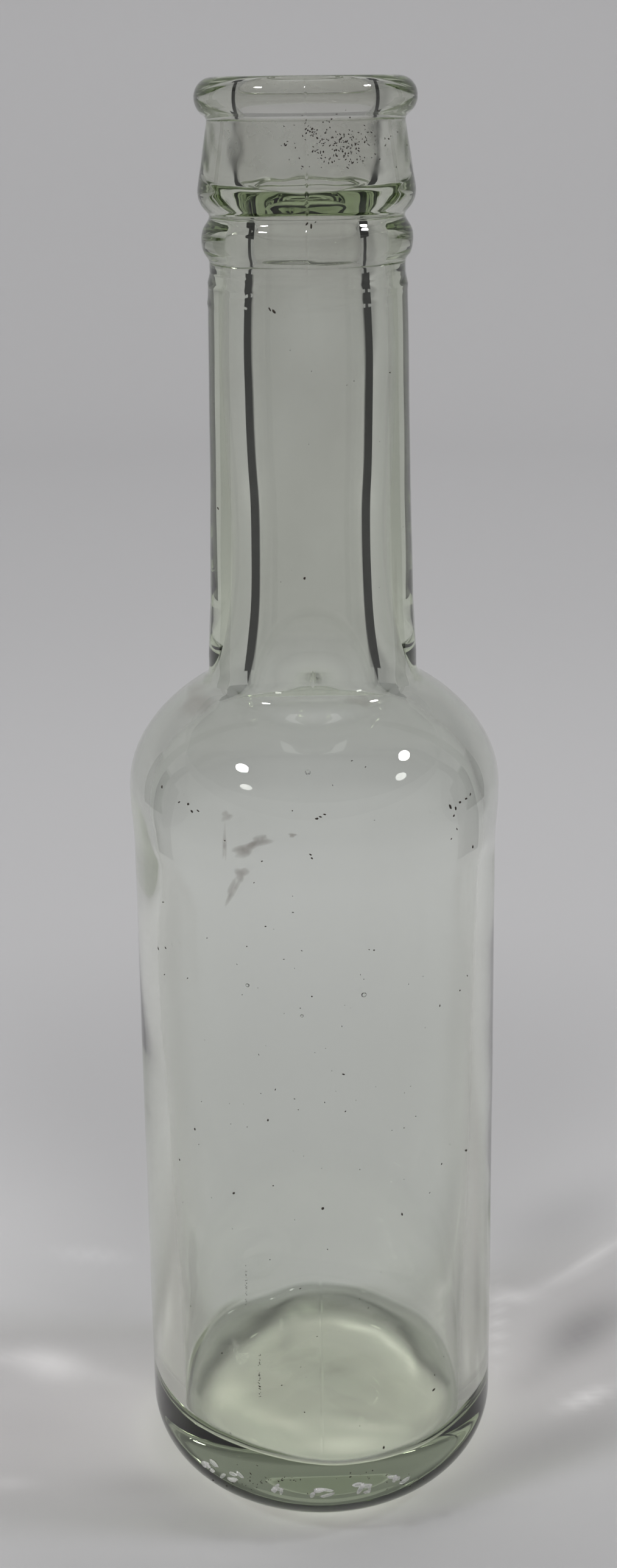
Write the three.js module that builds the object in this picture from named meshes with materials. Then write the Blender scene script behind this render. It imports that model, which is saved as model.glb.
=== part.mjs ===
// An empty table-sauce bottle of pale green glass, made in one piece: a heavy foot, a straight round
// body, domed shoulders, a long thick neck and a stepped mouth that once took a stopper.
// Millimetres, +Z up, the origin in the middle of the foot on the surface the bottle stands on.

import * as THREE from 'three';
import { mergeVertices } from 'three/addons/utils/BufferGeometryUtils.js';

// Steps round the bottle and along its curves
const sides = 48;
const heelSteps = 7;
const panelSteps = 4;
const shoulderSteps = 9;
const filletSteps = 3;
const ringSteps = 5;
const lipSteps = 7;
const mouthSteps = 4;
const floorSteps = 4;

// Foot and body, outside. The underside is hollow inside the ring that the bottle rests on, and the
// body is drawn in a little below the shoulder, where a paper label went.
const footRadius = 28.75;
const heelRadius = 11.5;
const restInner = 12;
const undersideDepth = 0.9;
const bodyMiddle = 75;
const bodyMiddleRadius = 28.3;
const panelTop = 112;
const panelTopRadius = 27.95;
const panelEnd = 119.1;
const shoulderFoot = 120.7;
const shoulderRadius = 28.3;

// Shoulder and neck, outside
const shoulderRise = 19;
const shoulderReach = 18.5;
const shoulderPower = 1.5;
const neckFillet = 2;
const neckFootRadius = 15.6;
const neckFoot = 141.2;
const neckLowerRadius = 15.1;
const neckLower = 149;
const neckMiddleRadius = 14.7;
const neckMiddle = 165.2;
const neckUpperRadius = 14.3;
const neckUpper = 187.7;
const neckTopRadius = 14.12;
const neckTop = 195.2;

// Finish, outside: a narrow step, a ring, a groove, a collar that widens downwards and the lip
const stepRadius = 13.83;
const stepFoot = 196.5;
const stepTop = 198.5;
const ringMiddle = 201.1;
const ringHalfHeight = 2.3;
const ringRadius = 14.9;
const ringCoreRadius = 13.9;
const grooveHeight = 204.4;
const grooveRadius = 13.55;
const collarRound = 2.8;
const collarRadius = 15.28;
const collarWidest = 207.7;
const lipFoot = 217.3;
const lipFootRadius = 13.65;
const lipCoreRadius = 12.8;
const lipRadius = 15.4;
const lipMiddle = 219.9;
const bottleHeight = 222.6;

// Hollow: mouth, stopper seat, neck bore, inner shoulder, body and floor
const mouthRadius = 9.7;
const mouthRound = 2.1;
const seatRadius = 9.5;
const seatTop = 211.3;
const seatFoot = 204.6;
const boreTopRadius = 7.95;
const boreMiddle = 164;
const boreMiddleRadius = 7.7;
const boreLower = 153.5;
const boreLowerRadius = 7.85;
const boreFoot = 143;
const boreFootRadius = 8.4;
const rootRadius = 8.9;
const rootHeight = 139.2;
const rootAcross = 4;
const rootDrop = 5.1;
const hollowShoulderRadius = 25.6;
const hollowShoulderFoot = 117.5;
const hollowShoulderRise = 17;
const hollowShoulderReach = 16;
const hollowShoulderTopRadius = 12.7;
const hollowFootRadius = 25.1;
const cornerRadius = 6;
const floorHeight = 11;
const floorCrown = 1.6;

// Where each curved stretch starts and ends, as angles from the level outward line, in degrees
const heelArc = [-90, 0];
const neckFilletArc = [260, 190];
const ringArc = [-75, 75];
const collarFootArc = [-58, 0];
const lipArc = [-68, 90];
const mouthArc = [90, 180];
const rootArc = [180, 262];
const cornerArc = [0, -90];

const point = (radius, height) => new THREE.Vector2(radius, height);

function smoothStep(t) {
  return t * t * (3 - 2 * t);
}

// A stretch that starts and ends upright, easing from one radius to another
function ease(from, to, steps) {
  const points = [];
  for (let i = 0; i <= steps; i += 1) {
    const t = i / steps;
    const radius = THREE.MathUtils.lerp(from.x, to.x, smoothStep(t));
    points.push(point(radius, THREE.MathUtils.lerp(from.y, to.y, t)));
  }
  return points;
}

// Part of an ellipse with the given centre and half sizes
function arc(centre, across, up, [from, to], steps) {
  const points = [];
  for (let i = 0; i <= steps; i += 1) {
    const angle = THREE.MathUtils.degToRad(THREE.MathUtils.lerp(from, to, i / steps));
    points.push(point(centre.x + across * Math.cos(angle), centre.y + up * Math.sin(angle)));
  }
  return points;
}

// A domed shoulder from its widest level up to where it has come in to the given radius
function shoulder(radius, foot, rise, reach, endRadius) {
  const endAngle = Math.acos((1 - (radius - endRadius) / reach) ** (1 / shoulderPower));
  const points = [];
  for (let i = 0; i <= shoulderSteps; i += 1) {
    const angle = (endAngle * i) / shoulderSteps;
    const inward = reach * (1 - Math.cos(angle) ** shoulderPower);
    points.push(point(radius - inward, foot + rise * Math.sin(angle)));
  }
  return points;
}

// From the middle of the foot up to the neck's root
function outerBody() {
  const heelCentre = point(footRadius - heelRadius, heelRadius);
  const dome = shoulder(
    shoulderRadius, shoulderFoot, shoulderRise, shoulderReach, neckFootRadius + neckFillet,
  );
  const domeEnd = dome.at(-1);
  const filletCentre = point(domeEnd.x, domeEnd.y + neckFillet);
  return [
    point(0, undersideDepth),
    point(restInner * 0.6, undersideDepth * 0.7),
    point(restInner, 0),
    ...arc(heelCentre, heelRadius, heelRadius, heelArc, heelSteps),
    point(bodyMiddleRadius, bodyMiddle),
    ...ease(point(panelTopRadius, panelTop), point(shoulderRadius, panelEnd), panelSteps),
    ...dome,
    ...arc(filletCentre, neckFillet, neckFillet, neckFilletArc, filletSteps),
  ];
}

// From the neck's root up to the top of the lip
function outerNeck() {
  const ringCentre = point(ringCoreRadius, ringMiddle);
  const collarCentre = point(collarRadius - collarRound, collarWidest);
  const lipCentre = point(lipCoreRadius, lipMiddle);
  const collarDrop = collarWidest - grooveHeight;
  return [
    point(neckFootRadius, neckFoot),
    point(neckLowerRadius, neckLower),
    point(neckMiddleRadius, neckMiddle),
    point(neckUpperRadius, neckUpper),
    point(neckTopRadius, neckTop),
    point(stepRadius, stepFoot),
    point(stepRadius, stepTop),
    ...arc(ringCentre, ringRadius - ringCoreRadius, ringHalfHeight, ringArc, ringSteps),
    point(grooveRadius, grooveHeight),
    ...arc(collarCentre, collarRound, collarDrop, collarFootArc, ringSteps),
    point(lipFootRadius, lipFoot),
    ...arc(lipCentre, lipRadius - lipCoreRadius, bottleHeight - lipMiddle, lipArc, lipSteps),
  ];
}

// From the mouth down to the foot of the neck's bore
function innerNeck() {
  const mouthCentre = point(mouthRadius + mouthRound, bottleHeight - mouthRound);
  const rootCentre = point(rootRadius + rootAcross, rootHeight);
  return [
    ...arc(mouthCentre, mouthRound, mouthRound, mouthArc, mouthSteps),
    ...ease(point(seatRadius, seatTop), point(boreTopRadius, seatFoot), ringSteps),
    point(boreMiddleRadius, boreMiddle),
    point(boreLowerRadius, boreLower),
    point(boreFootRadius, boreFoot),
    ...arc(rootCentre, rootAcross, rootDrop, rootArc, ringSteps),
  ];
}

// From the inner shoulder down to the middle of the floor, which is a little crowned
function innerBody() {
  const floorRadius = hollowFootRadius - cornerRadius;
  const cornerCentre = point(floorRadius, floorHeight + cornerRadius);
  const dome = shoulder(
    hollowShoulderRadius, hollowShoulderFoot, hollowShoulderRise, hollowShoulderReach,
    hollowShoulderTopRadius,
  );
  const crown = [];
  for (let i = 1; i <= floorSteps; i += 1) {
    const t = i / floorSteps;
    crown.push(point(floorRadius * (1 - t), floorHeight + floorCrown * smoothStep(t)));
  }
  return [
    ...dome.reverse(),
    ...arc(cornerCentre, cornerRadius, cornerRadius, cornerArc, floorSteps),
    ...crown,
  ];
}

// One closed solid, turned about the bottle's axis
function turned(outline) {
  const lathe = new THREE.LatheGeometry(outline, sides);
  lathe.rotateX(Math.PI / 2);
  lathe.deleteAttribute('normal');
  lathe.deleteAttribute('uv');
  const geometry = mergeVertices(lathe);
  geometry.computeVertexNormals();
  return geometry;
}

const glass = new THREE.MeshStandardMaterial({
  color: 0xa7b0a3,
  roughness: 0.06,
  metalness: 0,
  transparent: true,
  opacity: 0.45,
});

const outline = [...outerBody(), ...outerNeck(), ...innerNeck(), ...innerBody()];
const bottle = new THREE.Mesh(turned(outline), glass);
bottle.name = 'bottle';

const sauceBottle = new THREE.Group();
sauceBottle.add(bottle);

export default sauceBottle;
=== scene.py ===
# The looks of an empty sauce bottle of old, pale green glass: one uneven, closed glass body with small
# bubbles in its wall, and dirt specks, thin brown stains and worn marks on it. Round it are a pale floor
# that turns up into a backdrop, two lamps, a light on the backdrop, a dim room and two black cards.
# The bottle's forms are worked out in millimetres, and what is made from them is in metres. On the bottle,
# azimuth 0 is the photographed side, which faces -Y, and positive azimuths go round to the right.

import math
import random

import bpy
import numpy as np
from mathutils import Matrix, Vector


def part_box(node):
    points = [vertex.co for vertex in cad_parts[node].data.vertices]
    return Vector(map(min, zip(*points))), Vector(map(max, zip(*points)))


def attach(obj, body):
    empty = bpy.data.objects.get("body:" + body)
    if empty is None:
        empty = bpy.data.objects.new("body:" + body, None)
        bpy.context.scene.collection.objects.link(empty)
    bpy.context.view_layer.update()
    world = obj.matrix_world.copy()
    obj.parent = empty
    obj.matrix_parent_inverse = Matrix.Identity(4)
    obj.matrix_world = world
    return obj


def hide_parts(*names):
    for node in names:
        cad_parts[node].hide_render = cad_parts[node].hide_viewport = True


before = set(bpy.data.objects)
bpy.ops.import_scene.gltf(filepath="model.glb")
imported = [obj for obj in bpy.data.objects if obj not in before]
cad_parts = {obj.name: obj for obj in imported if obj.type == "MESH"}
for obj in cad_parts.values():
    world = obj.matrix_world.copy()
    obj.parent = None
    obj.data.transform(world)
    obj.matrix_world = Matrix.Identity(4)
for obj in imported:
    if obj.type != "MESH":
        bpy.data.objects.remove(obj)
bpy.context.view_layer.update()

MM = 0.001
NODE = "bottle"
SEED = 7

low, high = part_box(NODE)
HEIGHT = (high[2] - low[2]) / MM
FOOT_RADIUS = (high[0] - low[0]) / 2 / MM

# Outer outline, in millimetres as (radius, height). Arcs start and end at angles from the level outward
# line, in degrees.
HEEL_RADIUS = 11.5
REST_INNER = 16.0
UNDERSIDE_DEPTH = 0.6
BODY_MIDDLE = (28.3, 75.0)
PANEL_TOP = (27.95, 112.0)
PANEL_END = 119.1
SHOULDER = {"radius": 28.3, "foot": 120.7, "rise": 19.0, "reach": 18.5, "end": 17.0}
SHOULDER_POWER = 1.5
NECK_FILLET = 3.0
NECK_FILLET_END = 190
NECK = [(15.6, 141.2), (15.1, 149.0), (14.7, 165.2), (14.3, 187.7), (14.12, 195.2)]
STEP = [(13.83, 196.5), (13.83, 198.5)]
RING = {"centre": (13.9, 201.1), "across": 1.0, "up": 2.3, "start": -75, "end": 75}
GROOVE = (13.55, 204.4)
COLLAR = {"centre": (12.48, 207.7), "across": 2.8, "up": 3.3, "start": -58, "end": 0}
LIP_FOOT = (13.65, 217.3)
LIP = {"centre": (12.8, 219.9), "across": 2.6, "up": HEIGHT - 219.9, "start": -68, "end": 90}

# Inner outline, in millimetres as (radius, height)
MOUTH_RADIUS = 9.7
MOUTH_ROUND = 2.1
SEAT = {"centre": (7.6, 208.8), "across": 1.9, "up": 2.1, "start": 0, "end": -90}
BORE = [(7.4, 206.2), (7.4, 204.2), (7.85, 194.5), (8.2, 186.0), (8.15, 179.0), (7.95, 170.0),
        (7.65, 163.0), (7.62, 156.0), (7.85, 149.5), (8.35, 144.2), (9.0, 140.4), (10.2, 137.0),
        (12.2, 134.3), (14.6, 132.5), (17.1, 130.9), (19.5, 129.1), (22.2, 126.2), (24.0, 123.1),
        (25.2, 119.5), (25.6, 115.5), (25.7, 111.0)]
HOLLOW_FOOT_RADIUS = 24.8
CORNER_RADIUS = 2.6
FLOOR_HEIGHT = 12.7
FLOOR_CROWN = 1.2

# Mesh density. The outline is drawn in steps of FINE millimetres, its corners melted over ROUNDING. There
# are more columns of points beside the two seams, at these offsets in degrees.
FINE = 0.1
ROUNDING = 0.35
DISC_STEPS = 20
COLUMNS = 144
SEAM_OFFSETS = (0.2, 0.4, 0.6, 0.8, 1.05, 1.4, 1.8)

# How far apart the rings of points lie along the outline, in millimetres: (above this height, step)
OUTER_STEPS = ((191, 0.35), (145, 1.5), (112, 0.8), (13, 2.4), (-math.inf, 0.7))
INNER_STEPS = ((200, 0.4), (143, 1.4), (100, 0.8), (18, 2.0), (-math.inf, 0.6))

# Relief of the outside, in millimetres
SEAM_FOOT = 14
SEAM_WIDTH = 0.15
FINISH_FOOT = 196

# Relief of the inner wall: azimuths in degrees, the rest in millimetres
THICK_LEFT = -52
THICK_RIGHT = 62
BORE_SHIFT = 0.3
FOLD_RIGHT = -56
FOLD_TOP = 105
STREAKS_LEVEL = (108, 10)

# Soft hills over the azimuth: (centre, width, how high)
STREAKS = ((44, 1.8, 0.05), (51, 3.2, -0.06), (59, 2.2, 0.03))
FILLED_CORNER = ((-150, 15, 2.4), (142, 13, 1.3))

# Soft ovals on the bottle: (azimuth, its width, height, its width, how strong)
THICK_PATCH = (-88, 18, 112, 8, 1.4)
SMEARS = ((-52, 20, 131, 6, 0.2), (42, 14, 137, 4, 0.35))

# Waves of the inner wall: (how high, how many round the bottle, radians per millimetre up, start)
BODY_WAVES = ((0.03, 3, 0.04, 0.7), (0.01, 5, -0.09, 0.0))
NECK_WAVES = ((0.07, 2, 0.16, 0.0), (0.04, 3, -0.3, 0.0))
MOUTH_WAVES = ((0.13, 11, 0.9, 0.0), (0.08, 17, -0.7, 1.0))

# The camera stands at the height of the lip, a little over a bottle's height away, and looks down
PHOTO_WIDTH, PHOTO_HEIGHT = 1013, 2576
FOCAL_PX = 3200.0
AXIS_PX = 515.8
HORIZON_PX = 142
CAMERA_DISTANCE = 0.283
CAMERA_HEIGHT = 0.2212
PITCH = math.degrees(math.atan((PHOTO_HEIGHT / 2 - HORIZON_PX) / FOCAL_PX))
ROLL = 0.72
SENSOR = 36.0


def smooth_step(t):
    t = np.clip(t, 0.0, 1.0)
    return t * t * (3 - 2 * t)


def rising(value, start, length):
    """Goes smoothly from 0 at the start to 1 a length further on."""
    return smooth_step((value - start) / length)


def falling(value, end, length):
    """Goes smoothly from 1 to 0, which it reaches at the end, over the length before it."""
    return smooth_step((end - value) / length)


def bump(value, centre, width):
    """A soft hill, 1 at its centre."""
    return np.exp(-((value - centre) / width) ** 2)


def bumps(value, hills):
    """The sum of soft hills."""
    return sum(size * bump(value, centre, width) for centre, width, size in hills)


def spot(azimuth, height, place):
    """A soft oval on the bottle."""
    centre, wide, level, tall, size = place
    return size * bump(azimuth, centre, wide) * bump(height, level, tall)


def waves(azimuth, height, kinds):
    """Waves that run round the bottle and turn as they go up."""
    a = np.radians(azimuth)
    return sum(size * np.sin(count * a + turn * height + start) for size, count, turn, start in kinds)


def arc(centre, across, up, start, end, steps=24):
    """Part of an ellipse with these half sizes."""
    angles = np.radians(np.linspace(start, end, steps))
    return [(centre[0] + across * math.cos(a), centre[1] + up * math.sin(a)) for a in angles]


def ease(start, end, steps=12):
    """A stretch that starts and ends upright."""
    t = np.linspace(0, 1, steps)
    return [(start[0] + (end[0] - start[0]) * float(smooth_step(k)), start[1] + (end[1] - start[1]) * k)
            for k in t]


def dome(radius, foot, rise, reach, end, steps=40):
    """A shoulder, from its widest level up to where it has come in to the radius called end."""
    last = math.acos((1 - (radius - end) / reach) ** (1 / SHOULDER_POWER))
    return [(radius - reach * (1 - math.cos(a) ** SHOULDER_POWER), foot + rise * math.sin(a))
            for a in np.linspace(0, last, steps)]


def curve(points, steps=10):
    """A smooth line through the points."""
    p = np.array([points[0], *points, points[-1]], float)
    line = []
    for a, b, c, d in zip(p, p[1:], p[2:], p[3:]):
        for t in np.linspace(0, 1, steps, endpoint=False):
            bend = 2 * a - 5 * b + 4 * c - d + t * (3 * (b - c) + d - a)
            line.append(tuple(b + 0.5 * t * (c - a + t * bend)))
    return line + [tuple(p[-1])]


def outer_outline():
    """From the middle of the underside up to the top of the lip."""
    underside = [(REST_INNER * t, UNDERSIDE_DEPTH * float(smooth_step(1 - t)))
                 for t in np.linspace(0, 1, DISC_STEPS)]
    heel_centre = (FOOT_RADIUS - HEEL_RADIUS, HEEL_RADIUS)
    shoulder = dome(**SHOULDER)
    root = shoulder[-1]
    lean = math.atan2(root[1] - shoulder[-2][1], shoulder[-2][0] - root[0])
    fillet = (root[0] + NECK_FILLET * math.sin(lean), root[1] + NECK_FILLET * math.cos(lean))
    return [
        *underside,
        *arc(heel_centre, HEEL_RADIUS, HEEL_RADIUS, -90, 0),
        BODY_MIDDLE,
        *ease(PANEL_TOP, (SHOULDER["radius"], PANEL_END)),
        *shoulder,
        *arc(fillet, NECK_FILLET, NECK_FILLET, 270 - math.degrees(lean), NECK_FILLET_END),
        *NECK,
        *STEP,
        *arc(**RING),
        GROOVE,
        *arc(**COLLAR),
        LIP_FOOT,
        *arc(**LIP),
    ]


def inner_outline():
    """From the top of the mouth down to the middle of the floor."""
    mouth = (MOUTH_RADIUS + MOUTH_ROUND, HEIGHT - MOUTH_ROUND)
    floor_radius = HOLLOW_FOOT_RADIUS - CORNER_RADIUS
    corner = (floor_radius, FLOOR_HEIGHT + CORNER_RADIUS)
    crown = [(floor_radius * (1 - t), FLOOR_HEIGHT + FLOOR_CROWN * float(smooth_step(t)))
             for t in np.linspace(0, 1, DISC_STEPS)]
    return [
        *arc(mouth, MOUTH_ROUND, MOUTH_ROUND, 90, 180),
        *arc(**SEAT),
        *curve(BORE),
        *arc(corner, CORNER_RADIUS, CORNER_RADIUS, 0, -90),
        *crown[1:],
    ]


def rounded(points):
    """The outline in steps of FINE with its corners melted over about ROUNDING, ends kept on the axis."""
    points = np.array(points, float)
    lengths = np.r_[0, np.cumsum(np.hypot(*np.diff(points, axis=0).T))]
    s = np.arange(0, lengths[-1], FINE)
    line = np.c_[np.interp(s, lengths, points[:, 0]), np.interp(s, lengths, points[:, 1])]
    reach = int(3 * ROUNDING / FINE)
    weights = np.exp(-0.5 * (np.arange(-reach, reach + 1) * FINE / ROUNDING) ** 2)
    before = line[1:reach + 1][::-1] * (-1, 1)
    after = line[-reach - 1:-1][::-1] * (-1, 1)
    padded = np.vstack([before, line, after])
    out = np.c_[[np.convolve(padded[:, k], weights / weights.sum(), "valid") for k in (0, 1)]].T
    out[0, 0] = out[-1, 0] = 0
    return out


def thinned(line, steps):
    """Every few points of the outline, as far apart as the steps say for their height."""
    kept = [0]
    run = 0.0
    for i in range(1, len(line) - 1):
        run += float(np.hypot(*(line[i] - line[i - 1])))
        apart = next(step for above, step in steps if line[i][1] > above)
        if run >= apart:
            kept.append(i)
            run = 0.0
    return line[kept + [len(line) - 1]]


def mould_seams(a, height, radius):
    """The seams at the front and the back, which stand out most in the finish, in millimetres."""
    across = np.sin(a) * radius
    strong = (0.06 + 0.07 * rising(height, FINISH_FOOT, 8)) * (0.7 + 0.3 * np.sin(5.3 * height))
    return strong * bump(across, 0, SEAM_WIDTH) * rising(height, SEAM_FOOT, 6)


def tool_marks(a, height):
    """Fine raised lines that the finishing tool left round the top of the neck, in millimetres."""
    at_step = 195.3 + 0.4 * np.sin(3 * a + 1.0) + 0.2 * np.sin(11 * a)
    below = 192.9 + 0.6 * np.sin(2 * a + 0.4)
    above = 198.9 + 0.3 * np.sin(2 * a - 0.6)
    marks = 0.10 * bump(height, at_step, 0.3)
    marks += 0.12 * bump(height, below, 0.35) * smooth_step(np.sin(3 * a + 0.5) + 0.3)
    marks += 0.10 * bump(height, above, 0.3) * smooth_step(np.sin(5 * a) + 0.4)
    return marks


def outer_relief(azimuth, height, radius):
    """Seams, tool marks and the slight waviness of the outside, in millimetres."""
    a = np.radians(azimuth)
    wave = 0.035 * np.sin(2 * a + 0.05 * height) * np.sin(0.11 * height + 1.0)
    wave += 0.02 * np.sin(5 * a + 0.21 * height) * np.sin(0.17 * height)
    raised = mould_seams(a, height, radius) + tool_marks(a, height)
    return raised + wave * rising(height, 0, 12) * falling(height, HEIGHT, 6)


def side(azimuth, centre):
    """A broad rise round the bottle, from 0 to 1."""
    return (0.5 + 0.5 * np.cos(np.radians(azimuth - centre))) ** 4


def fold(azimuth, height):
    """A low step in the body's wall at the upper left, with a round corner at its upper right."""
    corner = np.hypot(np.maximum(0, azimuth - FOLD_RIGHT) / 14, np.maximum(0, height - FOLD_TOP) / 8)
    step = 0.12 * falling(corner, 1.2, 0.45) * rising(azimuth, -84, 16)
    return step * rising(height, 80, 18)


def uneven_body(azimuth, height):
    """The body's inner wall: thick sides, a patch and a fold at the upper left, streaks at the upper right."""
    wall = waves(azimuth, height, BODY_WAVES)
    wall = wall - side(azimuth, THICK_LEFT) * (0.35 + 0.65 * falling(height, 80, 60))
    wall = wall - spot(azimuth, height, THICK_PATCH)
    wall = wall - 0.4 * side(azimuth, THICK_RIGHT) * (0.9 + 0.3 * falling(height, 95, 60))
    return wall - fold(azimuth, height) - bumps(azimuth, STREAKS) * bump(height, *STREAKS_LEVEL)


def inner_relief(azimuth, height):
    """How far the inner wall stands off its outline, in millimetres; less than nothing is thicker glass."""
    body = falling(height, 128, 12)
    neck = rising(height, 138, 8) * falling(height, 206, 6)
    mouth = rising(height, 205, 3) * falling(height, 217, 2)
    shift = BORE_SHIFT * np.cos(np.radians(azimuth) + math.pi / 2)
    relief = body * uneven_body(azimuth, height)
    relief = relief + neck * (shift + waves(azimuth, height, NECK_WAVES))
    relief = relief + mouth * waves(azimuth, height, MOUTH_WAVES)
    return relief - falling(height, 26, 9) * bumps(azimuth, FILLED_CORNER)


def floor_relief(x, y):
    """Height of the uneven floor above its outline, in millimetres: broad swells, a tilt and ripples."""
    swell = 0.5 * np.sin(0.16 * x + 0.4) * np.cos(0.13 * y - 0.3) + 0.2 * np.sin(0.3 * y + 0.2 * x)
    tilt = 0.035 * x
    return swell - tilt + 0.05 * np.sin(0.7 * x - 0.4 * y) * np.sin(0.55 * y + 0.3 * x + 1.0)


def azimuths():
    """The columns of points: evenly all round, with more of them beside the seams."""
    even = [360 * k / COLUMNS - 180 for k in range(COLUMNS)]
    extra = [seam + way * offset for seam in (0, -180) for way in (-1, 1) for offset in SEAM_OFFSETS]
    wrapped = {round((a + 180) % 360 - 180, 4) for a in even + extra}
    return np.array(sorted(wrapped))


def ring_faces(start, n, rings):
    """Faces between rings of n points each, the first of them at the index start."""
    faces = []
    for ring in range(rings - 1):
        a = start + ring * n
        faces += [(a + k, a + (k + 1) % n, a + n + (k + 1) % n, a + n + k) for k in range(n)]
    return faces


def turned(first, rings, last):
    """A closed surface of rings between two points on the axis."""
    n = len(rings[0])
    points = np.vstack([[first], *rings, [last]])
    top = len(points) - 1
    end = 1 + (len(rings) - 1) * n
    faces = [(0, 1 + (k + 1) % n, 1 + k) for k in range(n)]
    faces += ring_faces(1, n, len(rings))
    faces += [(end + k, end + (k + 1) % n, top) for k in range(n)]
    return points, faces


def joined(shells):
    """Closed shells put together as one set of points and faces."""
    points = np.zeros((0, 3))
    faces = []
    for more, shell in shells:
        faces += [tuple(i + len(points) for i in face) for face in shell]
        points = np.vstack([points, more])
    return points, faces


outline = rounded(outer_outline() + inner_outline())
brim = int(np.argmax(outline[:, 1]))
outside = outline[:brim + 1]
inside = outline[brim:]


def outside_radius(height):
    """The radius of the outside at heights above the ring that the bottle rests on."""
    rising_part = outside[int(np.argmin(outside[:, 1])):]
    return np.interp(height, rising_part[:, 1], rising_part[:, 0])


# How deep the bubbles lie in the wall, in millimetres
BUBBLE_DEPTH = 1.3


def bubble(azimuth, height, size, columns=12, rows=8):
    """A round void in the wall, its faces turned inwards."""
    a = math.radians(azimuth)
    reach = float(outside_radius(height)) - BUBBLE_DEPTH
    centre = np.array((math.sin(a) * reach, -math.cos(a) * reach, height))
    turn = np.linspace(0, 2 * math.pi, columns, endpoint=False)
    rings = []
    for row in range(1, rows):
        b = math.pi * row / rows
        ring = np.c_[np.sin(turn) * math.sin(b), np.cos(turn) * math.sin(b), np.full(columns, -math.cos(b))]
        rings.append(centre + ring * size / 2)
    points, faces = turned(centre - (0, 0, size / 2), rings, centre + (0, 0, size / 2))
    return points, [face[::-1] for face in faces]


def ring_at(azimuth, reach, level):
    """A level ring of points at these distances from the axis."""
    a = np.radians(azimuth)
    return np.c_[np.sin(a) * reach, -np.cos(a) * reach, np.full(len(azimuth), level)]


def outer_rings(line, around):
    """The rings of the outside. Its relief fades out towards the axis."""
    rings = []
    for radius, height in line:
        reach = radius + outer_relief(around, height, radius) * rising(radius, 3, 9)
        rings.append(ring_at(around, reach, height))
    return rings


def inner_rings(line, around):
    """The rings of the hollow. Its relief fades out towards the axis, and the floor has its own."""
    rings = []
    for radius, height in line:
        reach = radius + inner_relief(around, height) * rising(radius, 5, 16)
        ring = ring_at(around, reach, height)
        ring[:, 2] += floor_relief(ring[:, 0], ring[:, 1]) * falling(height, 20, 6)
        rings.append(ring)
    return rings


def film(azimuth, height):
    """How much dusty film is on the glass, outside and inside alike, from 0 to 1."""
    turn = np.abs(azimuth)
    base = 0.03 + 0.07 * rising(height, 125, 12)
    neck = 0.40 * rising(height, 138, 10) + 0.30 * rising(height, 186, 22)
    smears = sum(spot(azimuth, height, place) for place in SMEARS)
    beside = 0.4 * rising(turn, 40, 20) * falling(turn, 125, 20) * falling(height, 122, 12)
    return np.clip(base + neck + smears + beside, 0, 1)


def wear(height, is_outer):
    """How dull the glass is rubbed, from 0 to 1: a little on the heel, more inside where the stopper sat."""
    heel_rub = 0.06 * falling(height, 10.4, 2)
    mouth_rub = 0.9 * (rising(height, 208.5, 2) * falling(height, 219, 2))
    return np.where(is_outer, heel_rub, mouth_rub)


def heel(azimuth, height, radius):
    """How much of the heel's own darker green there is, from 0 to about 1, more to the sides."""
    beside = rising(np.abs(azimuth), 12, 26)
    off_floor = 0.4 + 0.6 * rising(height, 0, 3)
    return falling(height, 10.6, 1.6) * rising(radius, 18, 6) * off_floor * (0.5 + 0.6 * beside)


def paint(mesh, name, amounts):
    """Gives each point of the mesh an amount that a material reads by this name."""
    mesh.attributes.new(name, "FLOAT", "POINT").data.foreach_set("value", np.array(amounts, np.float32))


def paint_glass(mesh, points, outer_count):
    """Paints film, wear and heel. The first outer_count points are those of the outside."""
    azimuth = np.degrees(np.arctan2(points[:, 0], -points[:, 1]))
    radius = np.hypot(points[:, 0], points[:, 1])
    height = points[:, 2]
    is_outer = np.arange(len(points)) < outer_count
    paint(mesh, "film", film(azimuth, height))
    paint(mesh, "wear", wear(height, is_outer))
    paint(mesh, "heel", heel(azimuth, height, radius) * is_outer)


def glass_mesh(bubbles):
    """The bottle: its outside and its hollow as one closed surface of rings about the axis."""
    outer = thinned(outside, OUTER_STEPS)
    inner = thinned(inside, INNER_STEPS)
    around = azimuths()
    rings = outer_rings(outer[1:-1], around)
    outer_count = 1 + len(rings) * len(around)
    rings += inner_rings(inner[:-1], around)
    underside = (0, 0, outer[0][1])
    floor = (0, 0, inner[-1][1] + float(floor_relief(0, 0)))
    points, faces = joined([turned(underside, rings, floor), *(bubble(*place) for place in bubbles)])
    mesh = bpy.data.meshes.new("glass_body")
    mesh.from_pydata((points * MM).tolist(), [], faces)
    paint_glass(mesh, points, outer_count)
    return mesh


def new_object(name, mesh, material):
    piece = bpy.data.objects.new(name, mesh)
    bpy.context.scene.collection.objects.link(piece)
    mesh.materials.append(material)
    for polygon in mesh.polygons:
        polygon.use_smooth = True
    return piece


def part_of_bottle(piece):
    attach(piece, "root")
    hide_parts(NODE)
    return piece


# The glass: how it bends light and how rough its worn places are, then its colours: the tint that light
# takes on along the way through it, its surface where it is clean, dusty or on the heel, and what it lets
# straight through of the lamps' light
REFRACTION = 1.52
WORN_ROUGHNESS = 0.5
TINT = (0.40, 0.52, 0.20)
TINT_DENSITY = 17.0
CLEAN = (0.987, 0.998, 0.984)
FILM = (0.83, 0.825, 0.80)
HEEL_GREEN = (0.44, 0.47, 0.42)
LAMPLIGHT = (0.83, 0.81, 0.82)

# Noise over the film, the worn glass and the stains: (scale, detail). It is about a half on average.
FILM_CLOUDS = (70.0, 6.0)
FILM_GAIN = 2.0
WORN_PATCHES = (420.0, 4.0)
STAIN_PATCHES = (700.0, 6.0)
STAIN_COVER = 0.7

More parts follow.
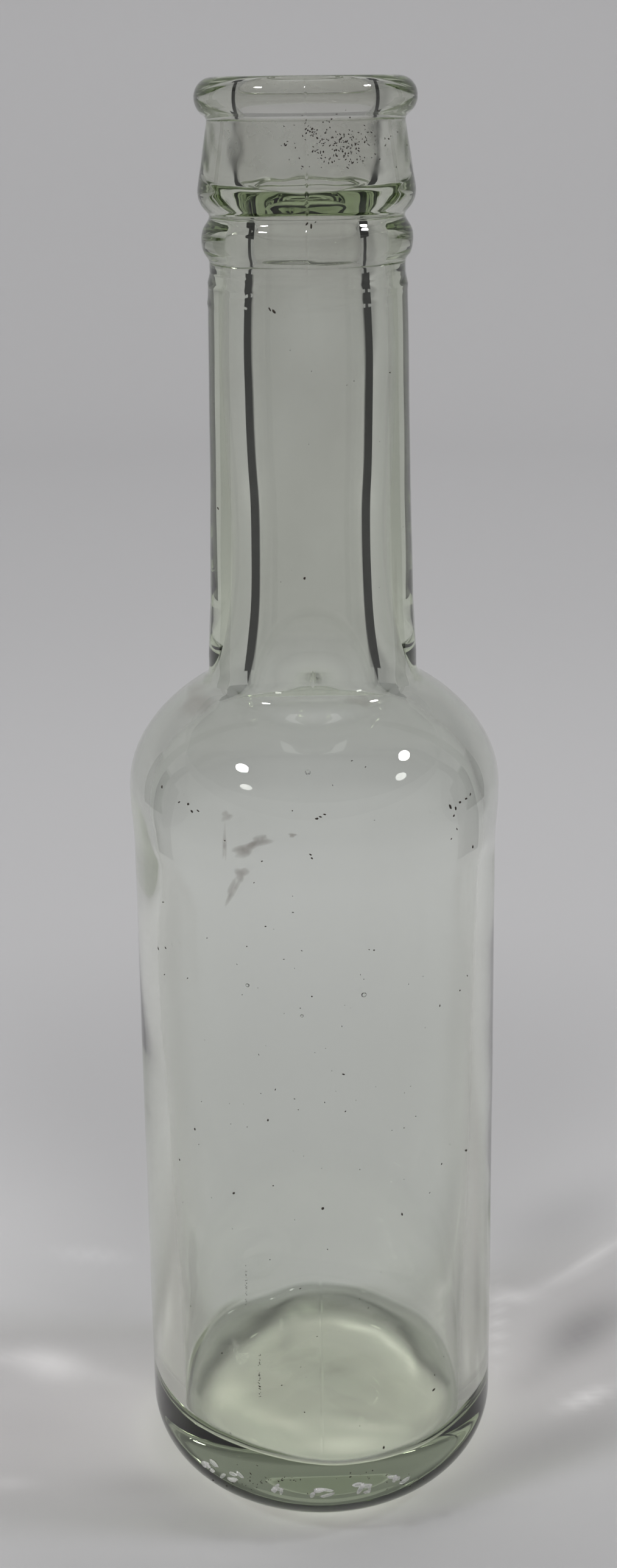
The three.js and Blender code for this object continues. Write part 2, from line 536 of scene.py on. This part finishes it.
# Dirt: its dark and its pale colour
DIRT = ((0.02, 0.017, 0.014), (0.06, 0.045, 0.035))
DIRT_SCALE = 3000.0
STAIN = ((0.13, 0.09, 0.07), (0.27, 0.21, 0.17))
STAIN_SCALE = 900.0
CRUST_DETAIL = 5.0
CRUST_ROUGHNESS = 0.85


def plain_material(name, colour, roughness):
    material = bpy.data.materials.new(name)
    material.use_nodes = True
    shader = material.node_tree.nodes["Principled BSDF"]
    shader.inputs["Base Color"].default_value = (*colour, 1)
    shader.inputs["Roughness"].default_value = roughness
    return material


def painted(nodes, name):
    """The amount that was painted on the mesh under this name."""
    reader = nodes.new("ShaderNodeAttribute")
    reader.attribute_name = name
    return reader.outputs["Fac"]


def noise(nodes, links, place, scale, detail):
    texture = nodes.new("ShaderNodeTexNoise")
    texture.inputs["Scale"].default_value = scale
    texture.inputs["Detail"].default_value = detail
    links.new(place.outputs["Object"], texture.inputs["Vector"])
    return texture.outputs["Fac"]


def product(nodes, links, first, second, factor):
    """first times second times the factor."""
    once = nodes.new("ShaderNodeMath")
    twice = nodes.new("ShaderNodeMath")
    once.operation = twice.operation = "MULTIPLY"
    links.new(first, once.inputs[0])
    links.new(second, once.inputs[1])
    links.new(once.outputs["Value"], twice.inputs[0])
    twice.inputs[1].default_value = factor
    return twice.outputs["Value"]


def blend(nodes, links, amount, first, second):
    """The first colour going over into the second. The first may be the output of another node."""
    mix = nodes.new("ShaderNodeMix")
    mix.data_type = "RGBA"
    if isinstance(first, tuple):
        mix.inputs["A"].default_value = (*first, 1)
    else:
        links.new(first, mix.inputs["A"])
    mix.inputs["B"].default_value = (*second, 1)
    links.new(amount, mix.inputs["Factor"])
    return mix.outputs["Result"]


def let_lamps_through(nodes, links, shader):
    """Lets the lamps shine straight through the glass, so that it throws no black shadow."""
    path = nodes.new("ShaderNodeLightPath")
    clear = nodes.new("ShaderNodeBsdfTransparent")
    clear.inputs["Color"].default_value = (*LAMPLIGHT, 1)
    both = nodes.new("ShaderNodeMixShader")
    links.new(path.outputs["Is Shadow Ray"], both.inputs["Fac"])
    links.new(shader.outputs["BSDF"], both.inputs[1])
    links.new(clear.outputs["BSDF"], both.inputs[2])
    links.new(both.outputs["Shader"], nodes["Material Output"].inputs["Surface"])


def glass_material(name):
    """Pale green glass with its film, its darker heel and its worn places."""
    material = bpy.data.materials.new(name)
    material.use_nodes = True
    nodes, links = material.node_tree.nodes, material.node_tree.links
    shader = nodes["Principled BSDF"]
    shader.inputs["IOR"].default_value = REFRACTION
    shader.inputs["Transmission Weight"].default_value = 1.0
    shader.inputs["Roughness"].default_value = 0.0
    tint = nodes.new("ShaderNodeVolumeAbsorption")
    tint.inputs["Color"].default_value = (*TINT, 1)
    tint.inputs["Density"].default_value = TINT_DENSITY
    links.new(tint.outputs["Volume"], nodes["Material Output"].inputs["Volume"])

    place = nodes.new("ShaderNodeTexCoord")
    clouds = noise(nodes, links, place, *FILM_CLOUDS)
    cloudy = product(nodes, links, painted(nodes, "film"), clouds, FILM_GAIN)
    dusty = blend(nodes, links, cloudy, CLEAN, FILM)
    links.new(blend(nodes, links, painted(nodes, "heel"), dusty, HEEL_GREEN), shader.inputs["Base Color"])
    patches = noise(nodes, links, place, *WORN_PATCHES)
    worn = product(nodes, links, painted(nodes, "wear"), patches, WORN_ROUGHNESS)
    links.new(worn, shader.inputs["Roughness"])
    let_lamps_through(nodes, links, shader)
    return material


def crumb_material(name, dark, pale, scale):
    """A dull crust that wanders between two colours."""
    material = plain_material(name, dark, CRUST_ROUGHNESS)
    nodes, links = material.node_tree.nodes, material.node_tree.links
    place = nodes.new("ShaderNodeTexCoord")
    colour = blend(nodes, links, noise(nodes, links, place, scale, CRUST_DETAIL), dark, pale)
    links.new(colour, nodes["Principled BSDF"].inputs["Base Color"])
    return material


def stain_material():
    """A brown crust, patchy and thinning out to its rim."""
    material = crumb_material("dirt_brown", *STAIN, STAIN_SCALE)
    nodes, links = material.node_tree.nodes, material.node_tree.links
    place = nodes.new("ShaderNodeTexCoord")
    patches = noise(nodes, links, place, *STAIN_PATCHES)
    patchy = product(nodes, links, painted(nodes, "cover"), patches, STAIN_COVER)
    links.new(patchy, nodes["Principled BSDF"].inputs["Alpha"])
    return material


# Where things lie, read off the photo in its pixels: (across, down, size in millimetres)
BUBBLES_PX = ((505, 1275, 0.8), (600, 1638, 0.8), (495, 1673, 0.5), (403, 1622, 0.6))
SPECKS_PX = (
    (440, 1840, 0.45), (384, 1960, 0.4), (295, 1905, 0.35), (320, 1855, 0.35), (765, 1890, 0.5),
    (725, 1912, 0.3), (660, 1995, 0.35), (530, 1985, 0.6), (452, 1790, 0.35), (564, 1765, 0.4),
    (510, 1404, 0.45), (512, 1410, 0.3), (520, 1345, 0.5), (526, 1342, 0.3), (533, 1338, 0.35),
    (266, 1293, 0.5), (294, 1318, 0.4), (309, 1321, 0.5), (315, 1333, 0.4), (325, 1332, 0.35),
    (430, 1415, 0.25), (417, 1450, 0.25), (268, 1482, 0.4), (436, 1522, 0.25), (340, 1541, 0.25),
    (466, 1576, 0.25), (260, 1558, 0.35), (272, 1557, 0.3), (270, 1601, 0.35), (308, 1607, 0.25),
    (369, 1381, 0.2), (480, 1332, 0.25), (512, 1637, 0.3), (739, 1325, 0.7), (748, 1328, 0.5),
    (755, 1318, 0.5), (765, 1312, 0.45), (772, 1305, 0.4), (776, 1391, 0.5), (750, 1362, 0.4),
    (741, 1378, 0.35), (745, 1340, 0.35), (606, 1560, 0.25), (614, 1561, 0.25), (722, 1652, 0.35),
    (767, 1603, 0.3), (755, 1627, 0.35), (450, 512, 0.6), (443, 508, 0.4), (500, 950, 0.45),
    (640, 612, 0.3), (358, 835, 0.4), (504, 368, 0.5), (511, 372, 0.5), (518, 365, 0.35),
    (630, 2378, 0.45), (712, 2283, 0.4), (500, 2320, 0.3), (546, 1290, 0.2), (600, 1260, 0.2),
)

# Small specks strewn at random about a place in the photo. The spread, across and down, is 1.6 standard
# deviations, and the sizes vary between these shares of the cluster's own.
CLUSTERS_PX = (
    {"centre": (560, 236), "spread": (58, 32), "count": 190, "size": 0.22},
    {"centre": (512, 216), "spread": (6, 10), "count": 18, "size": 0.24},
    {"centre": (430, 2432), "spread": (60, 9), "count": 40, "size": 0.22},
    {"centre": (640, 2430), "spread": (80, 14), "count": 30, "size": 0.22},
    {"centre": (404, 2115), "spread": (1.5, 22), "count": 30, "size": 0.12},
    {"centre": (426, 2262), "spread": (1.5, 34), "count": 36, "size": 0.16},
    {"centre": (525, 1900), "spread": (240, 460), "count": 90, "size": 0.18},
    {"centre": (505, 700), "spread": (120, 300), "count": 26, "size": 0.12},
)
SPREAD_DEVIATIONS = 1.6
SPECK_SHARES = (0.6, 1.3)

# Thin brown stains: (across, down, half width, half height, lean in degrees, how thick from 0 to 1)
STAINS_PX = (
    (372, 1341, 10, 9, 0, 0.6), (427, 1382, 20, 10, -12, 0.9), (404, 1395, 26, 11, -26, 0.8),
    (396, 1436, 14, 11, -50, 0.7), (382, 1462, 24, 8, -66, 0.7), (369, 1386, 30, 4, 90, 0.5),
    (480, 1372, 7, 4, 0, 0.7), (322, 1152, 24, 34, 20, 0.3), (590, 1152, 26, 10, 8, 0.25),
    (650, 996, 84, 4, 88, 0.25),
)
STAIN_RINGS = 7
STAIN_COLUMNS = 20
STAIN_LIFT = 0.14
STAIN_SINK = 0.10

# A crumb's thickness for its size, and the latitudes of its two rings of corners
FLAKE_FLAT = 0.3
FLAKE_SIDES = 6
FLAKE_LEVELS = (-0.6, 0.6)

# How far before and behind the bottle's axis a line of sight is tried for the glass, and in how many steps
SIGHT_REACH = 0.06
SIGHT_STEPS = 2400
SIGHT_DEPTHS = np.linspace(CAMERA_DISTANCE - SIGHT_REACH, CAMERA_DISTANCE + SIGHT_REACH, SIGHT_STEPS) / MM


def camera_turn():
    return Matrix.Rotation(math.radians(90 - PITCH), 3, "X") @ Matrix.Rotation(math.radians(-ROLL), 3, "Z")


def on_glass(across, down):
    """The point of the outside, in millimetres, that the photo shows at these pixels, or None."""
    look = camera_turn() @ Vector(((across - AXIS_PX) / FOCAL_PX, (PHOTO_HEIGHT / 2 - down) / FOCAL_PX, -1))
    eye = np.array((0, -CAMERA_DISTANCE, CAMERA_HEIGHT)) / MM
    line = eye + SIGHT_DEPTHS[:, None] * np.array(look)
    inside_it = (line[:, 2] > 0) & (line[:, 2] < HEIGHT)
    inside_it &= np.hypot(line[:, 0], line[:, 1]) <= outside_radius(line[:, 2])
    if not inside_it.any():
        return None
    return Vector(line[int(np.argmax(inside_it))])


def flake(place, size, rng):
    """A small, rounded, flattened crumb that lies on the outside."""
    outward = Vector((place.x, place.y, 0)).normalized()
    level_way = Vector((0, 0, 1)).cross(outward)
    spin = rng.uniform(0, math.pi)
    long_way = level_way * math.cos(spin) + Vector((0, 0, 1)) * math.sin(spin)
    short_way = outward.cross(long_way)
    length = size * rng.uniform(1.0, 2.1)
    width = size * rng.uniform(0.55, 1.1)
    rings = []
    for level in FLAKE_LEVELS:
        ring = []
        for k in range(FLAKE_SIDES):
            a = 2 * math.pi * k / FLAKE_SIDES
            lump = rng.uniform(0.75, 1.1) * math.cos(level)
            step = long_way * (length / 2 * lump * math.cos(a)) + short_way * (width / 2 * lump * math.sin(a))
            ring.append(place + step + outward * (size * FLAKE_FLAT * math.sin(level)))
        rings.append(ring)
    return turned(place - outward * size * FLAKE_FLAT, rings, place + outward * size * FLAKE_FLAT)


def shells_piece(name, shells, material):
    """Closed shells as one piece of the bottle."""
    points, faces = joined(shells)
    mesh = bpy.data.meshes.new(name)
    mesh.from_pydata((points * MM).tolist(), [], faces)
    mesh.validate()
    return part_of_bottle(new_object(name, mesh, material))


def shifted(ring, way):
    """The ring's points moved away from the axis, or towards it if the way is less than nothing."""
    return [p + Vector((p.x, p.y, 0)).normalized() * way for p in ring]


def stain(across, down, wide, tall, lean, thick):
    """A thin closed skin on the glass and how far it covers it at each of its points, or None."""
    a = math.radians(lean)
    shares = [(ring + 1) / STAIN_RINGS for ring in range(STAIN_RINGS)]
    rings = []
    for share in (0, *shares):
        ring = []
        for k in range(STAIN_COLUMNS):
            t = 2 * math.pi * k / STAIN_COLUMNS
            uneven = share * (1 + 0.22 * math.sin(3 * t + across) + 0.12 * math.sin(5 * t + down))
            x = wide * uneven * math.cos(t)
            y = tall * uneven * math.sin(t)
            place = on_glass(across + x * math.cos(a) - y * math.sin(a),
                             down + x * math.sin(a) + y * math.cos(a))
            if place is None:
                return None
            ring.append(place)
        rings.append(ring)
    lifted = [shifted(ring, STAIN_LIFT) for ring in rings]
    sunk = [shifted(ring, -STAIN_SINK) for ring in rings]
    points, faces = turned(lifted[0][0], lifted[1:] + sunk[:0:-1], sunk[0][0])
    cover = [thick * (1 - share ** 2) for share in shares for _ in range(STAIN_COLUMNS)]
    return points, faces, [thick, *cover, *cover[::-1], thick]


def dirt_specks():
    """The specks read off the photo, then the clusters of small ones."""
    rng = random.Random(SEED)
    crumbs = []
    for across, down, size in SPECKS_PX:
        place = on_glass(across, down)
        if place:
            crumbs.append(flake(place, size, rng))
    for cluster in CLUSTERS_PX:
        for _ in range(cluster["count"]):
            across = rng.gauss(cluster["centre"][0], cluster["spread"][0] / SPREAD_DEVIATIONS)
            down = rng.gauss(cluster["centre"][1], cluster["spread"][1] / SPREAD_DEVIATIONS)
            place = on_glass(across, down)
            if place:
                crumbs.append(flake(place, cluster["size"] * rng.uniform(*SPECK_SHARES), rng))
    shells_piece("dirt_specks", crumbs, crumb_material("dirt_dark", *DIRT, DIRT_SCALE))


def brown_stains():
    found = [patch for patch in (stain(*place) for place in STAINS_PX) if patch]
    piece = shells_piece("brown_stains", [patch[:2] for patch in found], stain_material())
    paint(piece.data, "cover", [amount for patch in found for amount in patch[2]])


# Worn, raised marks round the heel, with no lettering left: their places in the photo, in its pixels, and
# how far their strokes are strewn about them
HEEL_MARKS_PX = ((345, 2405), (380, 2425), (365, 2370), (455, 2447), (530, 2450), (588, 2448), (500, 2428),
                 (600, 2405), (655, 2405), (560, 2415), (660, 2427))
STROKES = 5
STROKE_SCATTER_PX = (11, 4)

# One stroke, in millimetres: its two rings as (how far out, share of the full size), its root and its top
STROKE_RINGS = ((0.0, 1.0), (0.28, 0.72))
STROKE_SIDES = 8
STROKE_ROOT = 0.05
STROKE_TOP = 0.38
STROKE_LENGTHS = (0.9, 2.6)
STROKE_WIDTHS = (0.5, 0.85)
STROKE_TRANSMISSION = 0.75


def stroke(place, rng):
    """A low, rounded bar that stands out from the heel, level or upright."""
    azimuth = math.atan2(place.x, -place.y)
    lean = math.acos((HEEL_RADIUS - place.z) / HEEL_RADIUS)
    outward = Vector((math.sin(azimuth) * math.sin(lean), -math.cos(azimuth) * math.sin(lean),
                      -math.cos(lean)))
    level_way = Vector((math.cos(azimuth), math.sin(azimuth), 0))
    up = outward.cross(level_way)
    spin = rng.choice((0.0, 0.0, 1.3)) + rng.gauss(0, 0.25)
    long_way = level_way * math.cos(spin) + up * math.sin(spin)
    short_way = outward.cross(long_way)
    length = rng.uniform(*STROKE_LENGTHS)
    width = rng.uniform(*STROKE_WIDTHS)
    turns = [2 * math.pi * k / STROKE_SIDES for k in range(STROKE_SIDES)]
    rings = []
    for lift, share in STROKE_RINGS:
        rings.append([place + outward * lift
                      + long_way * (length / 2 * share * math.cos(a))
                      + short_way * (width / 2 * share * math.sin(a)) for a in turns])
    return turned(place - outward * STROKE_ROOT, rings, place + outward * STROKE_TOP)


def heel_marks():
    rng = random.Random(SEED + 1)
    strokes = []
    for across, down in HEEL_MARKS_PX * STROKES:
        place = on_glass(rng.gauss(across, STROKE_SCATTER_PX[0]), rng.gauss(down, STROKE_SCATTER_PX[1]))
        if place is not None and place.z <= HEEL_RADIUS:
            strokes.append(stroke(place, rng))
    frosted = glass_material("mark_glass")
    shader = frosted.node_tree.nodes["Principled BSDF"]
    shader.inputs["Transmission Weight"].default_value = STROKE_TRANSMISSION
    shells_piece("heel_marks", strokes, frosted)


# The floor, which turns up into a backdrop all round. Its rings lie closest together under the bottle.
STAGE_FLAT = 1.0
STAGE_RADIUS = 1.45
STAGE_TOP = 0.95
STAGE_SIDES = 240
FLOOR_RINGS_MM = (*range(1, 36), *range(36, 200, 3), *range(200, 1001, 20))
BEND_STEPS = 16
WALL_STEPS = 5
PALE = 0.64
PALE_LIMITS = (0.05, 0.95)

# Light and shade that the glass throws on the floor round it, as the photo shows them, in its pixels:
# (across, down, half width, half height, lean in degrees, amount)
THROWN_PX = (
    (84, 2241, 52, 24, 6, 0.34), (16, 2230, 60, 12, 0, 0.14), (150, 2062, 60, 11, 4, 0.10),
    (14, 2437, 40, 11, 0, 0.12), (190, 2150, 120, 34, 8, -0.05), (80, 2340, 160, 46, 0, -0.07),
    (250, 2440, 100, 24, 0, -0.09), (180, 2262, 60, 14, 12, 0.06), (940, 2000, 130, 50, -22, -0.17),
    (842, 2130, 36, 11, 0, 0.24), (975, 2066, 62, 10, -35, 0.26), (905, 2105, 40, 8, -28, 0.10),
    (950, 2190, 100, 40, -30, -0.36), (962, 2297, 42, 12, -24, 0.34), (506, 2610, 700, 110, 0, -0.05),
    (890, 2215, 60, 22, -24, 0.06), (870, 2270, 40, 20, -20, -0.06), (920, 2365, 120, 36, -18, -0.13),
    (816, 2175, 8, 60, 0, 0.16), (700, 2500, 140, 14, -12, -0.06), (400, 2560, 130, 22, 0, 0.06),
)
THROWN_REACH = 0.25

# Painted light and shade under the foot, where the floor is seen through the glass, and a painted shade along
# the back of the foot, drawn as a dark line
UNDER_FOOT_PX = (
    (590, 2196, 42, 8, 10, 0.28), (644, 2218, 26, 8, 42, 0.26), (672, 2250, 9, 22, -12, 0.18),
    (496, 2164, 18, 8, 0, 0.22), (470, 2176, 12, 8, 40, 0.14), (362, 2296, 34, 20, 20, 0.18),
    (455, 2335, 50, 11, 14, 0.16), (560, 2368, 62, 14, 0, 0.22), (600, 2340, 70, 9, 4, 0.12),
    (728, 2305, 24, 20, -30, 0.16), (540, 2262, 66, 36, 6, -0.07), (468, 2215, 16, 26, 0, -0.07),
    (385, 2255, 22, 20, 0, -0.06), (560, 2320, 40, 8, 3, -0.06), (700, 2345, 30, 16, -20, -0.10),
)
# How strong the painted light under the foot is, and the even painted shade taken off all of it
UNDER_FOOT_GAIN = 1.6
UNDER_FOOT_SHADE = 0.10
# The painted shade along the back of the foot: its line as points across and down, its width and how dark it
# is
BACK_SHADE_PX = ((300, 2290), (318, 2262), (351, 2222), (400, 2200), (436, 2168), (468, 2138), (500, 2126),
                (540, 2130), (594, 2143), (641, 2163), (675, 2197), (697, 2236), (732, 2262), (765, 2280))
BACK_SHADE_WIDTH = 13.0
BACK_SHADE_DEPTH = 0.42

# How much higher the floor under the foot seems through the glass, and how far the paint there reaches, in
# metres: in front, how much further behind, and over what length it fades
GLASS_LIFTS = 0.0055
UNDER_FOOT_REACH = 0.018
UNDER_FOOT_BEHIND = 0.010
UNDER_FOOT_FADE = 0.003


def in_photo(points):
    """Where the photo shows these points, given in metres: its pixels across and down."""
    seen = (points - (0, -CAMERA_DISTANCE, CAMERA_HEIGHT)) @ np.array(camera_turn())
    ahead = np.maximum(-seen[:, 2], 0.001)
    return AXIS_PX + FOCAL_PX * seen[:, 0] / ahead, PHOTO_HEIGHT / 2 - FOCAL_PX * seen[:, 1] / ahead


def blots(across, down, places):
    """The sum of soft leaning ovals."""
    total = np.zeros(len(across))
    for x, y, wide, tall, lean, amount in places:
        a = math.radians(lean)
        along = (across - x) * math.cos(a) + (down - y) * math.sin(a)
        over = (down - y) * math.cos(a) - (across - x) * math.sin(a)
        total += amount * np.exp(-(along / wide) ** 2 - (over / tall) ** 2)
    return total


def off_line(across, down, line):
    """How far each place is from a line of straight stretches."""
    nearest = np.full(len(across), math.inf)
    for (x0, y0), (x1, y1) in zip(line, line[1:]):
        dx, dy = x1 - x0, y1 - y0
        t = np.clip(((across - x0) * dx + (down - y0) * dy) / (dx * dx + dy * dy), 0, 1)
        nearest = np.minimum(nearest, np.hypot(across - x0 - t * dx, down - y0 - t * dy))
    return nearest


def painted_lamp_level(distance, around, height):
    """How pale the stage is without the bottle's light and shade, with painted lamp light: brighter to the
    sides, near the lamps, darker close round the bottle and a little darker far off.
    """
    beside = rising(around, 22, 26) * rising(distance, 0.05, 0.05)
    beside = 0.15 * beside * (1 - rising(distance, 0.35, 0.3))
    far = 0.05 * rising(distance, 0.3, 0.3) - 0.05 * rising(height, 0.1, 0.2)
    return 0.85 + beside + 0.13 * rising(distance, 0.12, 0.12) - far


def stage_shade(points):
    """How pale the stage is at points in metres, with the light and shade that the bottle throws on it."""
    distance = np.hypot(points[:, 0], points[:, 1])
    around = np.abs(np.degrees(np.arctan2(points[:, 0], points[:, 1])))
    behind = falling(around, 100, 30)
    past_foot = distance - UNDER_FOOT_REACH - UNDER_FOOT_BEHIND * behind
    under = 1 - smooth_step(past_foot / UNDER_FOOT_FADE)
    near = (points[:, 2] < MM) & (distance < THROWN_REACH)
    thrown = np.where(near, blots(*in_photo(points), THROWN_PX), 0) * (1 - under)
    lifted = in_photo(points + (0, 0, GLASS_LIFTS))
    # Painted shade along the back of the foot, as seen through the glass
    back_shade = BACK_SHADE_DEPTH * bump(off_line(*lifted, BACK_SHADE_PX), 0, BACK_SHADE_WIDTH)
    # Painted light and shade under the foot, as seen through the glass
    caught = (UNDER_FOOT_GAIN * blots(*lifted, UNDER_FOOT_PX) - UNDER_FOOT_SHADE - back_shade) * under
    level = painted_lamp_level(distance, around, points[:, 2])
    return np.clip(PALE * (level + thrown + caught), *PALE_LIMITS)


def stage_outline():
    """Out over the floor, round the bend and up the wall: (distance from the axis, height)."""
    flat = [(r * MM, 0.0) for r in FLOOR_RINGS_MM]
    rise = STAGE_RADIUS - STAGE_FLAT
    bend = [(STAGE_FLAT + rise * math.sin(a), rise * (1 - math.cos(a)))
            for a in np.linspace(0, math.pi / 2, BEND_STEPS)[1:]]
    wall = [(STAGE_RADIUS, z) for z in np.linspace(rise, STAGE_TOP, WALL_STEPS)[1:]]
    return flat + bend + wall


def stage_material():
    """Dull paper in the shades painted on it, which carry painted light and shade."""
    material = plain_material("pale_paper", (PALE, PALE, PALE), 0.9)
    nodes, links = material.node_tree.nodes, material.node_tree.links
    shader = nodes["Principled BSDF"]
    shader.inputs["Specular IOR Level"].default_value = 0.1
    shade = nodes.new("ShaderNodeAttribute")
    shade.attribute_name = "shade"
    links.new(shade.outputs["Color"], shader.inputs["Base Color"])
    return material


def stage_piece():
    line = stage_outline()
    turns = [2 * math.pi * k / STAGE_SIDES for k in range(STAGE_SIDES)]
    points = [(0.0, 0.0, 0.0)]
    for r, z in line:
        points += [(r * math.sin(a), r * math.cos(a), z) for a in turns]
    faces = [(0, 1 + (k + 1) % STAGE_SIDES, 1 + k) for k in range(STAGE_SIDES)]
    faces += ring_faces(1, STAGE_SIDES, len(line))
    mesh = bpy.data.meshes.new("stage")
    mesh.from_pydata(points, [], faces)
    paint(mesh, "shade", stage_shade(np.array(points)))
    piece = new_object("floor_and_backdrop", mesh, stage_material())


# Lamps, as azimuth from +Y towards +X and elevation, in degrees, read from the bright spots on the glass
LAMPS = ((-116, 50), (95, 48))
LAMP_DISTANCE = 3.0
LAMP_TARGET = (0, 0, 0.1)
LAMP_SIZE = (0.42, 0.27)
LAMP_POWER = 30.0
LAMP_COLOUR = (0.995, 0.985, 1.0)

# The light on the backdrop
WASH_PLACE = (0, 0.4, 1.9)
WASH_TARGET = (0, 1.5, 0.1)
WASH_SIZE = (0.8, 0.8)
WASH_POWER = 2.0

# The room is brighter about one direction, up behind the bottle: it goes over from the first colour to the
# second between these two cosines of the angle to that direction
ROOM = (0.10, 0.10, 0.104)
UP_BEHIND = (0.27, 0.27, 0.275)
UP_BEHIND_WAY = (0, 0.75, 0.66)
UP_BEHIND_FROM = 0.45
UP_BEHIND_FULL = 0.75


def area_light(name, place, target, size, power):
    data = bpy.data.lights.new(name, "AREA")
    data.shape = "ELLIPSE"
    data.size, data.size_y = size
    data.energy = power
    data.color = LAMP_COLOUR
    lamp = bpy.data.objects.new(name, data)
    lamp.location = place
    lamp.rotation_mode = "QUATERNION"
    lamp.rotation_quaternion = (Vector(target) - lamp.location).to_track_quat("-Z", "Y")
    bpy.context.scene.collection.objects.link(lamp)


def lamps():
    for k, (azimuth, elevation) in enumerate(LAMPS):
        a, e = math.radians(azimuth), math.radians(elevation)
        place = Vector((math.sin(a) * math.cos(e), math.cos(a) * math.cos(e), math.sin(e))) * LAMP_DISTANCE
        area_light(f"lamp_{k}", place, LAMP_TARGET, LAMP_SIZE, LAMP_POWER)
    area_light("backdrop_wash", WASH_PLACE, WASH_TARGET, WASH_SIZE, WASH_POWER)


def room():
    """Dim and even, but brighter high up behind the bottle."""
    world = bpy.data.worlds.new("room")
    world.use_nodes = True
    nodes, links = world.node_tree.nodes, world.node_tree.links
    direction = nodes.new("ShaderNodeTexCoord")
    closeness = nodes.new("ShaderNodeVectorMath")
    closeness.operation = "DOT_PRODUCT"
    closeness.inputs[1].default_value = UP_BEHIND_WAY
    amount = nodes.new("ShaderNodeMapRange")
    amount.inputs["From Min"].default_value = UP_BEHIND_FROM
    amount.inputs["From Max"].default_value = UP_BEHIND_FULL
    links.new(direction.outputs["Generated"], closeness.inputs[0])
    links.new(closeness.outputs["Value"], amount.inputs["Value"])
    colour = blend(nodes, links, amount.outputs["Result"], ROOM, UP_BEHIND)
    links.new(colour, nodes["Background"].inputs["Color"])
    bpy.context.scene.world = world


# Two black cards at the sides, which the camera itself never sees, draw the dark lines in the glass. They
# are narrower at the top, where the lines in the collar and the lip are thinner. Their azimuth is measured
# from +Y, and their parts are (half width in degrees, foot, top).
CARD_AZIMUTH = 69.5
CARD_DISTANCE = 0.27
CARD_PARTS = ((10.5, 0.055, 0.197), (3.5, 0.197, 0.7))
CARD_BLACK = (0.045, 0.045, 0.047)


def black_cards():
    material = plain_material("black_card", CARD_BLACK, 1.0)
    material.node_tree.nodes["Principled BSDF"].inputs["Specular IOR Level"].default_value = 0.0
    for hand, name in ((-1, "card_left"), (1, "card_right")):
        corners = []
        for spread, foot, top in CARD_PARTS:
            for azimuth in (CARD_AZIMUTH - spread, CARD_AZIMUTH + spread):
                a = math.radians(hand * azimuth)
                place = (CARD_DISTANCE * math.sin(a), CARD_DISTANCE * math.cos(a))
                corners += [(*place, foot), (*place, top)]
        mesh = bpy.data.meshes.new(name)
        mesh.from_pydata(corners, [], [(0, 2, 3, 1), (4, 6, 7, 5)])
        card = new_object(name, mesh, material)
        card.visible_camera = False
        card.visible_diffuse = False
        card.visible_shadow = False


def camera():
    data = bpy.data.cameras.new("camera")
    data.sensor_fit = "AUTO"
    data.sensor_width = SENSOR
    data.lens = FOCAL_PX / PHOTO_HEIGHT * SENSOR
    data.clip_start = 0.01
    data.shift_x = -(AXIS_PX - PHOTO_WIDTH / 2) / PHOTO_HEIGHT
    eye = bpy.data.objects.new("camera", data)
    eye.matrix_world = Matrix.Translation((0, -CAMERA_DISTANCE, CAMERA_HEIGHT)) @ camera_turn().to_4x4()
    bpy.context.scene.collection.objects.link(eye)
    bpy.context.scene.camera = eye


def bottle():
    bubbles = []
    for across, down, size in BUBBLES_PX:
        place = on_glass(across, down)
        bubbles.append((math.degrees(math.atan2(place.x, -place.y)), place.z, size))
    part_of_bottle(new_object("glass_bottle", glass_mesh(bubbles), glass_material("old_glass")))


camera()
bottle()
dirt_specks()
brown_stains()
heel_marks()
stage_piece()
black_cards()
lamps()
room()
bpy.context.scene.view_settings.view_transform = "Standard"
bpy.context.scene.cycles.max_bounces = 48
bpy.context.scene.cycles.transmission_bounces = 48
bpy.context.scene.cycles.glossy_bounces = 16
bpy.context.scene.cycles.diffuse_bounces = 2
